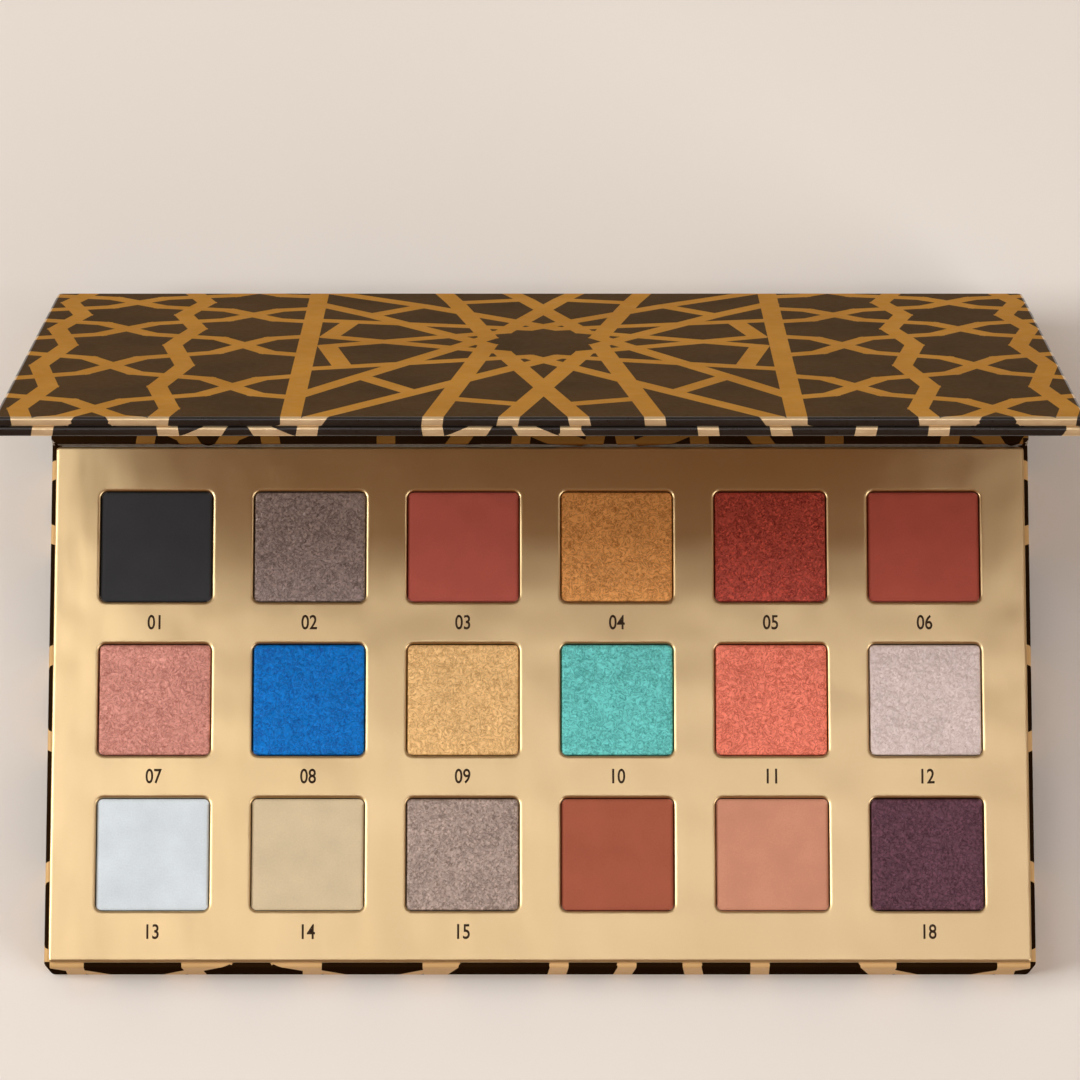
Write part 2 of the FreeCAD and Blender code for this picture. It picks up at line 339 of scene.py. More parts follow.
def steel():
    """Nickel-plated steel of the magnets and catch discs."""
    material, tree, shader = new_material("nickel_steel")
    brush = noise_texture(tree, 500.0, 3.0)
    tint(tree, shader, brush.outputs["Fac"], (0.50, 0.50, 0.50), (0.60, 0.60, 0.59))
    vary_roughness(tree, shader, brush.outputs["Fac"], 0.2, 0.35)
    set_inputs(shader, Metallic=1.0)
    return material


def glue():
    """Cloudy pale glue."""
    material, tree, shader = new_material("glue")
    cloud = noise_texture(tree, 300.0, 3.0)
    tint(tree, shader, cloud.outputs["Fac"], (0.68, 0.64, 0.54), (0.80, 0.77, 0.68))
    set_inputs(shader, Roughness=0.4)
    return material


def mirror_glass():
    """Silvered glass with the least trace of dust."""
    material, tree, shader = new_material("mirror_glass")
    dust = noise_texture(tree, 120.0, 6.0, 0.7)
    tint(tree, shader, dust.outputs["Fac"], (0.86, 0.88, 0.88), (0.90, 0.915, 0.915))
    vary_roughness(tree, shader, dust.outputs["Fac"], 0.015, 0.05, 0.45, 0.8)
    set_inputs(shader, Metallic=1.0)
    return material


def number_ink():
    """Dark brown printing ink."""
    material, tree, shader = new_material("number_ink")
    grain = noise_texture(tree, 2500.0, 3.0)
    tint(tree, shader, grain.outputs["Fac"], (0.030, 0.016, 0.008), (0.050, 0.028, 0.014))
    set_inputs(shader, Roughness=0.7, Specular_IOR_Level=0.1)
    return material


def matte_powder(name, colour):
    """Smooth pressed pigment with a fine chalky speckle."""
    material, tree, shader = new_material(name)
    speck = noise_texture(tree, 2600.0, 4.0, 0.7)
    cloud = noise_texture(tree, 140.0, 3.0)
    mix = mix_colours(tree, "MULTIPLY")
    base = ramp(tree, cloud.outputs["Fac"], [(0.3, shade(colour, 0.94)), (0.7, shade(colour, 1.06))])
    fleck = ramp(tree, speck.outputs["Fac"], [(0.3, (0.90, 0.90, 0.90)), (0.7, (1.0, 1.0, 1.0))])
    tree.links.new(base, mix.inputs["A"])
    tree.links.new(fleck, mix.inputs["B"])
    tree.links.new(mix.outputs["Result"], shader.inputs["Base Color"])
    add_bump(tree, shader, speck.outputs["Fac"], 0.03 * MM, 0.5)
    set_inputs(shader, Roughness=0.86, Specular_IOR_Level=0.25)
    return material


def flake_normal(tree, grain, tilt):
    """Surface normal tipped a different way in each grain, as glitter flakes lie."""
    facing = tree.nodes.new("ShaderNodeNewGeometry")
    centred = tree.nodes.new("ShaderNodeVectorMath")
    centred.operation = "SUBTRACT"
    centred.inputs[1].default_value = (0.5, 0.5, 0.5)
    tree.links.new(grain.outputs["Color"], centred.inputs[0])
    tipped = tree.nodes.new("ShaderNodeVectorMath")
    tipped.operation = "MULTIPLY_ADD"
    tipped.inputs[1].default_value = (tilt, tilt, tilt)
    tree.links.new(centred.outputs["Vector"], tipped.inputs[0])
    tree.links.new(facing.outputs["Normal"], tipped.inputs[2])
    unit = tree.nodes.new("ShaderNodeVectorMath")
    unit.operation = "NORMALIZE"
    tree.links.new(tipped.outputs["Vector"], unit.inputs[0])
    return unit.outputs["Vector"]


def shimmer_powder(name, colour, crinkled):
    """Pearl pigment: a crinkle of short dark strokes painted as shade in its creases, and small glitter
    grains that are tipped to catch the lamps, some lightened as painted glints.
    """
    material, tree, shader = new_material(name)
    grain = cell_texture(tree, 2700.0)
    crinkle = noise_texture(tree, STROKE_SCALE, 2.0, 0.6)
    crinkle.inputs["Distortion"].default_value = 1.4
    cloud = noise_texture(tree, 130.0, 2.0)
    mix = mix_colours(tree, "MULTIPLY")
    base = ramp(tree, cloud.outputs["Fac"], [(0.3, shade(colour, 0.94)), (0.7, shade(colour, 1.10))])
    white = (1.0, 1.0, 1.0)
    strongest = max(colour)
    # Painted shade: each crinkle stroke is darkest in its middle, in the powder's own hue, as shade in a
    # crease
    hue = tuple((channel / strongest) ** STROKE_SHADE_TINT for channel in colour)
    crease_shade_colour = shade(hue, 1.0 - STROKE_SHADE_DEPTH * crinkled)
    middle = shade(white, 1.0 - STROKE_SHADE_SIDES * crinkled)
    crease = ramp(tree, crinkle.outputs["Fac"], [(0.38, white), (0.46, middle), (0.50, crease_shade_colour),
                                                 (0.54, middle), (0.62, white)])
    tree.links.new(base, mix.inputs["A"])
    tree.links.new(crease, mix.inputs["B"])
    # Painted glints: some grains are mixed towards a lighter colour of the powder's hue
    painted_glint = mix_colours(tree, "MIX")
    amount = map_range(tree, grain.outputs["Color"], 0.62, 0.86, 0.0, PAINTED_GLINT_SHARE * crinkled)
    tree.links.new(amount, painted_glint.inputs["Factor"])
    tree.links.new(mix.outputs["Result"], painted_glint.inputs["A"])
    painted_glint.inputs["B"].default_value = (*shade(colour, min(PAINTED_GLINT_GAIN, 1.0 / strongest)), 1.0)
    tree.links.new(painted_glint.outputs["Result"], shader.inputs["Base Color"])
    flakes = flake_normal(tree, grain, SHIMMER_TILT)
    add_bump(tree, shader, crinkle.outputs["Fac"], 0.10 * MM, 0.6 + 0.2 * crinkled, flakes)
    set_inputs(shader, Metallic=SHIMMER_METAL, Roughness=0.42, Specular_IOR_Level=0.25)
    return material


def floor_paper():
    """Pale paper of the studio floor."""
    material, tree, shader = new_material("studio_floor")
    cloud = noise_texture(tree, 3.0, 3.0)
    tint(tree, shader, cloud.outputs["Fac"], (0.80, 0.77, 0.71), (0.83, 0.80, 0.74))
    set_inputs(shader, Roughness=0.9)
    return material


# The lid face's dark print is tinted brown as a painted reflection of a warm floor, with almost no gloss
# of its own
FACE_DARK_AND_REFLECTION = printed_paper("face_dark_and_painted_reflection", (0.072, 0.036, 0.007), (0.098, 0.050, 0.011), 0.55, 0.02)
FACE_GOLD = strap_gold("face_gold", (0.565, 0.260, 0.023), (0.665, 0.320, 0.033), 0.50, 0.10, 0.02)
EDGE_DARK = printed_paper("edge_dark", (0.010, 0.007, 0.005), (0.016, 0.011, 0.008), 0.26, 0.50)
# The folded edges' gold is a paler copy of the strap gold, a painted highlight where light catches the
# edges, with more metal and gloss
EDGE_GOLD_LIT = strap_gold("edge_gold_painted_highlight", (0.70, 0.52, 0.28), (0.78, 0.59, 0.34), 0.28, 0.60, 0.50)
# The walls' near-black print is tinted warm as a painted reflection of the floor, with no gloss of its own
WALL_DARK_AND_REFLECTION = printed_paper("wall_dark_and_painted_reflection", (0.014, 0.006, 0.002), (0.020, 0.009, 0.003), 0.55, 0.0)
WALL_GOLD = strap_gold("wall_gold", (0.62, 0.40, 0.17), (0.70, 0.46, 0.21), 0.45, 0.15, 0.05)
# The ledge's gold is a darkened copy of the strap gold: painted shade under the lid
LEDGE_GOLD_SHADED = strap_gold("ledge_gold_painted_shade", (0.18, 0.085, 0.018), (0.23, 0.110, 0.024), 0.50, 0.10, 0.02)
LID_PRINT = (FACE_DARK_AND_REFLECTION, FACE_GOLD, EDGE_DARK, EDGE_GOLD_LIT)
FRAME_PRINT = (EDGE_DARK, EDGE_GOLD_LIT, EDGE_DARK, EDGE_GOLD_LIT)
WALL_PRINT = (WALL_DARK_AND_REFLECTION, WALL_GOLD, WALL_DARK_AND_REFLECTION, WALL_GOLD)
LEDGE_PRINT_SHADED = (WALL_DARK_AND_REFLECTION, LEDGE_GOLD_SHADED, WALL_DARK_AND_REFLECTION, LEDGE_GOLD_SHADED)
CARD_GOLD = card_gold()
GREYBOARD = greyboard()
FOAM = black_foam()
LINER = liner_paper()
TIN_PAINTED_SHADE = tin()
STEEL = steel()
GLUE = glue()
MIRROR = mirror_glass()
INK = number_ink()


# Mesh helpers

def mesh_object(name, points, faces, materials, indices=None, smooth_angle=35.0):
    """New object from points and faces, with a material index per face."""
    mesh = bpy.data.meshes.new(name)
    mesh.from_pydata([tuple(p) for p in points], [], faces)
    for material in materials:
        mesh.materials.append(material)
    if indices is not None:
        mesh.polygons.foreach_set("material_index", indices)
    mesh.polygons.foreach_set("use_smooth", [True] * len(mesh.polygons))
    mesh.update()
    mesh.set_sharp_from_angle(angle=math.radians(smooth_angle))
    obj = bpy.data.objects.new(name, mesh)
    bpy.context.scene.collection.objects.link(obj)
    return obj


def drop_loose(obj):
    """Join points that meet and drop points that no face uses."""
    clean = bmesh.new()
    clean.from_mesh(obj.data)
    bmesh.ops.remove_doubles(clean, verts=clean.verts, dist=JOIN_DISTANCE)
    loose = [v for v in clean.verts if not v.link_faces]
    bmesh.ops.delete(clean, geom=loose, context="VERTS")
    clean.to_mesh(obj.data)
    clean.free()


def add_thickness(obj, thickness):
    """Turn a sheet into a closed skin, thickened inwards."""
    modifier = obj.modifiers.new("thickness", "SOLIDIFY")
    modifier.thickness = thickness
    modifier.offset = -1.0
    weighted = obj.modifiers.new("normals", "WEIGHTED_NORMAL")
    weighted.keep_sharp = True


def dress(node, material):
    """Put a procedural material on a CAD node that stays."""
    obj = NODES[node]
    obj.data.materials.clear()
    obj.data.materials.append(material)


def rounded_loop(low, high, corner, steps=CORNER_STEPS):
    """Points round a rectangle with rounded corners, anticlockwise from the lower right."""
    centres = ((high[0] - corner, low[1] + corner, -90.0), (high[0] - corner, high[1] - corner, 0.0),
               (low[0] + corner, high[1] - corner, 90.0), (low[0] + corner, low[1] + corner, 180.0))
    loop = []
    for x, y, start in centres:
        for step in range(steps + 1):
            angle = math.radians(start + 90.0 * step / steps)
            loop.append((x + corner * math.cos(angle), y + corner * math.sin(angle)))
    return loop


# Strapwork: a twelve-fold rosette between two upright straps, with hexagons and six-point stars beyond
ROSETTE_CROSSING = 32.0 * MM
ROSETTE_NOTCH = 11.5 * MM
ROSETTE_RING = 43.2 * MM
ROSETTE_RING_ANGLE = 5.0
RAY_REACH = 120.0 * MM
SHORT_RAYS = (0, 6)
FIELD_EDGE = 47.0 * MM
FIELD_REACH = 150.0 * MM
HEXAGON = 14.2 * MM
HEXAGON_START = (59.7 * MM, 11.2 * MM)
UPRIGHT_BACK = 60.0 * MM
ROSETTE_PLACE = (0.7 * MM, 11.9 * MM)

# How the pattern is drawn out: in front of the rosette's middle, behind it, and less and less to an end
DRAW_FRONT = 1.6
DRAW_BACK = 1.3
DRAW_LESS = 3.5
DRAW_END = 52.0 * MM


def polar(centre, radius, degrees):
    """Point at a radius and an angle from a centre."""
    angle = math.radians(degrees)
    return Vector((centre[0] + radius * math.cos(angle), centre[1] + radius * math.sin(angle)))


def rosette():
    """Twelve crossing pairs of rays from a star, joined by a ring of blunt petal ends."""
    straps = []
    middle = (0.0, 0.0)
    for ray in range(12):
        axis = ray * 30.0
        crossing = polar(middle, ROSETTE_CROSSING, axis)
        for side in (1.0, -1.0):
            notch = polar(middle, ROSETTE_NOTCH, axis + side * 45.0)
            ring = polar(middle, ROSETTE_RING, axis - side * ROSETTE_RING_ANGLE)
            straps.append((notch, ring))
            if ray not in SHORT_RAYS:
                straps.append((ring, notch + (crossing - notch).normalized() * RAY_REACH))
        straps.append((polar(middle, ROSETTE_RING, axis + ROSETTE_RING_ANGLE),
                       polar(middle, ROSETTE_RING, axis + 30.0 - ROSETTE_RING_ANGLE)))
    return straps


def star_field():
    """Six-point stars on a honeycomb, which leave hexagons between them."""
    straps = []
    notch = HEXAGON * math.sin(math.radians(45.0)) / math.sin(math.radians(105.0))
    for i in range(-1, 6):
        for j in range(-9, 10):
            centre = polar(polar(HEXAGON_START, 2.0 * HEXAGON * i, 30.0), 2.0 * HEXAGON * j, 90.0)
            if abs(centre.y) > FIELD_REACH or centre.x > FIELD_REACH:
                continue
            for side in range(6):
                angle = 30.0 + side * 60.0
                inner = polar(centre, notch, angle + 30.0)
                straps.append((polar(centre, HEXAGON, angle), inner))
                straps.append((inner, polar(centre, HEXAGON, angle + 60.0)))
    return straps


def cut(strap, low, high):
    """Part of a strap whose x lies between two limits, or nothing."""
    a, b = strap
    if a.x > b.x:
        a, b = b, a
    if b.x <= low or a.x >= high:
        return []
    span = b.x - a.x
    first = a.lerp(b, (low - a.x) / span) if a.x < low else a
    last = a.lerp(b, (high - a.x) / span) if b.x > high else b
    return [(first, last)]


def drawn(point):
    """Place on the lid of a point of the round pattern, which is drawn out along the lid's depth."""
    x, y = point
    rate = DRAW_BACK if y > 0.0 else DRAW_FRONT
    near = min(max(y, 0.0), DRAW_END)
    beyond = max(y - DRAW_END, 0.0)
    depth = rate * y - DRAW_LESS * near * near - 2.0 * DRAW_LESS * DRAW_END * beyond
    return Vector((x + ROSETTE_PLACE[0], depth + ROSETTE_PLACE[1]))


def strapwork():
    """Centre lines of the whole pattern on the lid's flat sheet."""
    straps = []
    for strap in rosette():
        straps += cut(strap, -FIELD_EDGE, FIELD_EDGE)
    for strap in star_field():
        if max(strap[0].x, strap[1].x) < FIELD_EDGE + STRAP_WIDTH:
            continue
        for part in cut(strap, FIELD_EDGE, FIELD_REACH):
            straps.append(part)
            straps.append(tuple(Vector((-p.x, p.y)) for p in part))
    for side in (1.0, -1.0):
        x = side * FIELD_EDGE
        straps.append((Vector((x, -FIELD_REACH)), Vector((x, UPRIGHT_BACK))))
    return [(drawn(a), drawn(b)) for a, b in straps]


STRAPS = strapwork()


def steepened(a, b, fold, steep):
    """Pieces of a strap, drawn longer where it runs past the folds at the front and the back."""
    if a.y > b.y:
        a, b = b, a
    stops = [0.0]
    for line in (-fold, fold):
        if a.y < line < b.y:
            stops.append((line - a.y) / (b.y - a.y))
    stops.append(1.0)
    ends = []
    for stop in stops:
        point = a.lerp(b, stop)
        past = max(abs(point.y) - fold, 0.0)
        ends.append(Vector((point.x, point.y + math.copysign(past * (steep - 1.0), point.y))))
    return list(zip(ends, ends[1:]))


def strap_quads(low, high, offset, fold=FIELD_REACH, steep=1.0):
    """Four-cornered outlines of the straps that reach into a flat rectangle."""
    quads = []
    half = STRAP_WIDTH / 2.0
    shift = Vector(offset)
    pieces = []
    for start, end in STRAPS:
        pieces += steepened(start + shift, end + shift, fold, steep)
    for a, b in pieces:
        if (b - a).length < SHORTEST_STRAP:
            continue
        along = (b - a).normalized()
        a = a - along * half * STRAP_OVERRUN
        b = b + along * half * STRAP_OVERRUN
        if max(a.x, b.x) < low[0] - half or min(a.x, b.x) > high[0] + half:
            continue
        if max(a.y, b.y) < low[1] - half or min(a.y, b.y) > high[1] + half:
            continue
        across = Vector((-along.y, along.x)) * half
        quads.append([a - across, b - across, b + across, a + across])
    return quads


class FoldedSheet:
    """Printed paper over a board: a flat top, folded down its sides and turned in below."""

    def __init__(self, low, high, corner, height, turn_in, hole=None, offset=(0.0, 0.0), steep=1.0):
        self.centre = ((low[0] + high[0]) / 2.0, (low[1] + high[1]) / 2.0)
        self.half = ((high[0] - low[0]) / 2.0, (high[1] - low[1]) / 2.0)
        self.corner = corner
        self.height = height
        self.turn_in = turn_in
        self.hole = hole
        self.offset = offset
        self.steep = steep
        self.core = (self.half[0] - corner, self.half[1] - corner)
        quarter = FOLD_RADIUS * math.pi / 2.0
        self.flat_end = corner - FOLD_RADIUS
        self.top_end = self.flat_end + quarter
        self.side_end = self.top_end + height - FOLD_RADIUS * (2.0 if turn_in > 0.0 else 1.0)
        self.under_start = self.side_end + (quarter if turn_in > 0.0 else 0.0)
        self.mitre_start = self.under_start + (self.flat_end if turn_in > 0.0 else 0.0)
        self.end = self.under_start + turn_in

    def profile(self, run):
        """Outward and downward distance of a point that lies a run beyond the flat core."""
        radius = FOLD_RADIUS
        if run <= self.flat_end:
            return run, 0.0
        if run <= self.top_end:
            angle = (run - self.flat_end) / radius
            return self.flat_end + radius * math.sin(angle), radius * (1.0 - math.cos(angle))
        if run <= self.side_end:
            return self.corner, radius + run - self.top_end
        if run <= self.under_start:
            angle = (run - self.side_end) / radius
            return (self.flat_end + radius * math.cos(angle),
                    self.height - radius + radius * math.sin(angle))
        return self.flat_end - (run - self.under_start), self.height

    def runs(self):
        """Runs at which the sheet has a line of points along a fold."""
        quarter = FOLD_RADIUS * math.pi / 2.0
        runs = [0.0, self.flat_end]
        runs += [self.flat_end + quarter * k / FOLD_STEPS for k in range(1, FOLD_STEPS + 1)]
        runs.append(self.side_end)
        if self.turn_in > 0.0:
            runs += [self.side_end + quarter * k / FOLD_STEPS for k in range(1, FOLD_STEPS + 1)]
        return runs

    def fold(self, point):
        """Place in space of a point of the flat sheet, with the top face at height zero."""
        x, y = point
        down = 0.0
        past_x = abs(x) - self.core[0]
        past_y = abs(y) - self.core[1]
        if past_x > max(past_y, 0.0):
            out, down = self.profile(past_x)
            x = math.copysign(self.core[0] + out, x)
        elif past_y > 0.0:
            out, down = self.profile(past_y)
            y = math.copysign(self.core[1] + out, y)
        return Vector((self.centre[0] + x, self.centre[1] + y, -down))

    def outline(self):
        """Flat polygons that make up the sheet: its core, round any hole, and four flaps."""
        cx, cy = self.core
        pieces = []
        if self.hole is None:
            pieces.append([(-cx, -cy), (cx, -cy), (cx, cy), (-cx, cy)])
        else:
            x0, x1 = self.hole[0][0] - self.centre[0], self.hole[1][0] - self.centre[0]
            y0, y1 = self.hole[0][1] - self.centre[1], self.hole[1][1] - self.centre[1]
            pieces.append([(-cx, -cy), (cx, -cy), (cx, y0), (-cx, y0)])
            pieces.append([(-cx, y1), (cx, y1), (cx, cy), (-cx, cy)])
            pieces.append([(-cx, y0), (x0, y0), (x0, y1), (-cx, y1)])
            pieces.append([(x1, y0), (cx, y0), (cx, y1), (x1, y1)])
        mitre, end = self.mitre_start, self.end
        pull = end - mitre
        for sign in (1.0, -1.0):
            flap = [(cx, -cy), (cx + mitre, -cy), (cx + end, -cy + pull), (cx + end, cy - pull),
                    (cx + mitre, cy), (cx, cy)]
            pieces.append([(sign * x, sign * y) for x, y in flap])
            flap = [(-cx, cy), (cx, cy), (cx, cy + mitre), (cx - pull, cy + end), (-cx + pull, cy + end),
                    (-cx, cy + mitre)]
            pieces.append([(sign * x, sign * y) for x, y in flap])
        return pieces

    def build(self, name, top, print_set, flip=False):
        """Mesh of the folded sheet with its top face at a height, or hanging below it when flipped.

        The print set holds the dark and gold of the face, then the dark and gold of the folded edges.
        """
        points = []
        faces = []
        edges = []

        def add_polygon(corners):
            start = len(points)
            points.extend(Vector(c) for c in corners)
            faces.append(list(range(start, start + len(corners))))

        pieces = self.outline()
        for piece in pieces:
            add_polygon(piece)
        sheet_faces = len(faces)
        reach = (self.core[0] + self.end, self.core[1] + self.end)
        for quad in strap_quads((-reach[0], -reach[1]), reach, self.offset, self.core[1], self.steep):
            add_polygon(quad)
        for run in self.runs():
            for sign in (1.0, -1.0):
                for line in (((self.core[0] + run, -self.core[1]), (self.core[0] + run, self.core[1])),
                             ((-self.core[0], self.core[1] + run), (self.core[0], self.core[1] + run))):
                    start = len(points)
                    points.extend(Vector((sign * x, sign * y)) for x, y in line)
                    edges.append((start, start + 1))
        flat, _, tiles, _, _, origins = delaunay_2d_cdt(points, edges, faces, 1, CUT_TOLERANCE)
        kept = []
        indices = []
        for tile, origin in zip(tiles, origins):
            if not any(face < sheet_faces for face in origin):
                continue
            middle = sum((flat[k] for k in tile), Vector((0.0, 0.0))) / len(tile)
            past = max(abs(middle.x) - self.core[0], abs(middle.y) - self.core[1])
            edge = 2 if past > self.flat_end else 0
            gold = 1 if any(face >= sheet_faces for face in origin) else 0
            kept.append(list(tile))
            indices.append(edge + gold)
        space = [self.fold(p) for p in flat]
        self.add_corners(space, kept, indices)
        if flip:
            space = [Vector((p.x, p.y, -p.z)) for p in space]
            kept = [tile[::-1] for tile in kept]
        space = [p + Vector((0.0, 0.0, top)) for p in space]
        obj = mesh_object(name, space, kept, print_set, indices)
        drop_loose(obj)
        return obj

    def add_corners(self, space, faces, indices):
        """Round the four upright corners where the flaps meet."""
        runs = [run for run in self.runs() if self.profile(run)[0] > 1e-6]
        if self.turn_in > 0.0:
            runs.append(self.mitre_start)
        for quadrant in range(4):
            sx = 1.0 if quadrant in (0, 3) else -1.0
            sy = 1.0 if quadrant in (0, 1) else -1.0
            middle = Vector((self.centre[0] + sx * self.core[0], self.centre[1] + sy * self.core[1], 0.0))
            tip = len(space)
            space.append(middle)
            rows = []
            for run in runs:
                out, down = self.profile(run)
                row = []
                for step in range(CORNER_STEPS + 1):
                    angle = math.pi / 2.0 * (quadrant + step / CORNER_STEPS)
                    row.append(len(space))
                    space.append(middle + Vector((out * math.cos(angle), out * math.sin(angle), -down)))
                rows.append(row)
            for step in range(CORNER_STEPS):
                faces.append([tip, rows[0][step], rows[0][step + 1]])
                indices.append(2)
                for upper, lower in zip(rows, rows[1:]):
                    faces.append([upper[step], lower[step], lower[step + 1], upper[step + 1]])
                    indices.append(2)


def as_lid(obj):
    """Open a piece that is built shut, and let it ride on the lid."""
    obj.data.transform(OPEN_LID)
    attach(obj, "lid")


def finish_wrap(obj, node):
    """Thicken a paper and let it take the place of a CAD wrap."""
    add_thickness(obj, PAPER)
    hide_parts(node)


def base_paper():
    """Paper round the walls of the base, open inside them."""
    low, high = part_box("base_wrap")
    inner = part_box("left_wall")[1].x
    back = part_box("back_wall")[0].y
    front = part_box("front_wall")[1].y
    sheet = FoldedSheet(low, high, CASE_CORNER, high.z - low.z, BASE_TURN_IN,
                        ((inner, front), (-inner, back)), BASE_SHIFT, WALL_STEEP)
    obj = sheet.build("base_paper", high.z, WALL_PRINT)
    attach(obj, "base")
    finish_wrap(obj, "base_wrap")


def ledge_paper():
    """Paper over the raised ledge behind the gold card; its gold print is darkened as painted shade under
    the lid.
    """
    low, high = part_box("ledge_wrap")
    sheet = FoldedSheet(low, high, CASE_CORNER, high.z - low.z, 0.0, None, LEDGE_SHIFT)
    obj = sheet.build("ledge_paper", high.z, LEDGE_PRINT_SHADED)
    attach(obj, "base")
    finish_wrap(obj, "ledge_wrap")


def lid_cover_paper():
    """Paper round the lid's cover board, turned in over the frame behind it."""
    low, high = closed_box("lid_outer_wrap")
    frame_back = closed_box("lid_inner_wrap")[1].y
    turn_in = high.y - frame_back + LID_LAP
    sheet = FoldedSheet(low, high, CASE_CORNER, high.z - low.z, turn_in)
    obj = sheet.build("lid_cover_paper", high.z, LID_PRINT)
    as_lid(obj)
    finish_wrap(obj, "lid_outer_wrap")


def lid_frame_paper():
    """Paper round the mirror's frame, with a hole for the glass."""
    low, high = closed_box("lid_inner_wrap")
    glass_low, glass_high = closed_box("mirror")
    gap = Vector((MIRROR_GAP, MIRROR_GAP, 0.0))
    hole = (glass_low - gap, glass_high + gap)
    sheet = FoldedSheet(low, high, CASE_CORNER, high.z - low.z, LID_LAP, hole, FRAME_SHIFT)
    obj = sheet.build("lid_frame_paper", low.z, FRAME_PRINT, flip=True)
    as_lid(obj)
    finish_wrap(obj, "lid_inner_wrap")


# Gold card with soft-edged windows

def card_profile():
    """Inset and drop of each loop from the flat face to the foot of an edge."""
    steps = []
    for step in range(BEVEL_STEPS + 1):
        angle = math.pi / 2.0 * step / BEVEL_STEPS
        inset = CARD_BEVEL_WIDTH * (1.0 - math.sin(angle))
        drop = CARD_BEVEL_DEPTH * (1.0 - math.cos(angle))
        steps.append((inset, drop))
    return steps


def card_outlines(low, high):
    """Corners, radius and side of the card's outer edge and of each window; a window's side is -1."""
    outlines = [((low.x, low.y), (high.x, high.y), CARD_CORNER, 1.0)]
    half = CARD_WINDOW / 2.0
    for number in range(1, PAN_COUNT + 1):
        pan_low, pan_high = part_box("pan_%02d" % number)
        middle = (pan_low + pan_high) / 2.0
        outlines.append(((middle.x - half, middle.y - half), (middle.x + half, middle.y + half),
                         CARD_WINDOW_CORNER, -1.0))
    return outlines


def gold_card():
    """Card with eighteen windows, whose edges and its own outer edge are softly rounded."""
    low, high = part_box("gold_card")
    points = []
    faces = []
    flat_points = []
    flat_faces = []
    for first, last, radius, sign in card_outlines(low, high):
        rows = []
        for inset, drop in card_profile() + [(0.0, high.z - low.z)]:
            shift = sign * inset
            loop = rounded_loop((first[0] + shift, first[1] + shift), (last[0] - shift, last[1] - shift),
                                max(radius - shift, CARD_LEAST_CORNER))
            row = []
            for x, y in loop:
                row.append(len(points))
                points.append(Vector((x, y, high.z - drop)))
            rows.append(row)
        start = len(flat_points)
        flat_points += [Vector((points[k].x, points[k].y)) for k in rows[0]]
        flat_faces.append(list(range(start, len(flat_points))))
        count = len(rows[0])
        for upper, lower in zip(rows, rows[1:]):
            for k in range(count):
                quad = [upper[k], lower[k], lower[(k + 1) % count], upper[(k + 1) % count]]
                faces.append(quad if sign > 0 else quad[::-1])
    flat, _, tiles, _, _, origins = delaunay_2d_cdt(flat_points, [], flat_faces, 1, CUT_TOLERANCE)
    for height, order in ((high.z, 1), (low.z, -1)):
        start = len(points)
        points += [Vector((p.x, p.y, height)) for p in flat]
        for tile, origin in zip(tiles, origins):
            if list(origin) == [0]:
                faces.append([start + k for k in tile][::order])
    obj = mesh_object("gold_card_face", points, faces, [CARD_GOLD], smooth_angle=60.0)
    drop_loose(obj)
    weighted = obj.modifiers.new("normals", "WEIGHTED_NORMAL")
    weighted.keep_sharp = True
    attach(obj, "base")
    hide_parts("gold_card")


# Powders row by row from the back left: name, how crinkled it is (a matte cake isn't), linear colour
SHADES = (
    ("charcoal", 0.00, (0.030, 0.031, 0.034)),
    ("taupe", 1.30, (0.268, 0.206, 0.183)),
    ("red_brown", 0.00, (0.400, 0.083, 0.057)),
    ("bronze", 1.15, (0.772, 0.360, 0.106)),
    ("crimson", 1.30, (0.447, 0.071, 0.047)),
    ("brick", 0.00, (0.406, 0.080, 0.051)),
    ("rose", 0.90, (0.610, 0.272, 0.214)),
    ("royal_blue", 1.00, (0.001, 0.176, 0.575)),
    ("gold", 0.90, (0.850, 0.548, 0.230)),
    ("turquoise", 1.10, (0.155, 0.635, 0.592)),
    ("coral", 0.95, (0.905, 0.248, 0.160)),
    ("lilac", 0.40, (0.712, 0.612, 0.570)),
    ("ice_white", 0.00, (0.700, 0.800, 0.850)),
    ("beige", 0.00, (0.695, 0.580, 0.375)),
    ("mauve", 1.10, (0.389, 0.306, 0.260)),
    ("terracotta", 0.00, (0.388, 0.104, 0.056)),
    ("salmon", 0.00, (0.630, 0.290, 0.184)),
    ("plum", 1.30, (0.118, 0.050, 0.071)),
)
PAN_COUNT = len(SHADES)


def powder_height(x, y, half, crinkled, seed):
    """Height of the pressed face over its middle level at a point of the cake."""
    edge = half - max(abs(x), abs(y))
    fall = max(0.0, 1.0 - edge / POWDER_SHOULDER)
    height = -POWDER_EDGE_DROP * fall * fall
    spot = Vector((x / MM, y / MM, seed * 7.3))
    if crinkled:
        warp = noise.noise(spot * 0.35) * 1.2
        wave = Vector((spot.x * 0.55 + warp, spot.y * 0.95 - warp, spot.z))
        height += CRINKLE_RELIEF * noise.fractal(wave, 0.7, 2.1, 4)
        height += LUMP_RELIEF * noise.noise(spot * 1.7)
    else:
        height += MATTE_RELIEF * noise.noise(spot * 0.18)
    return height


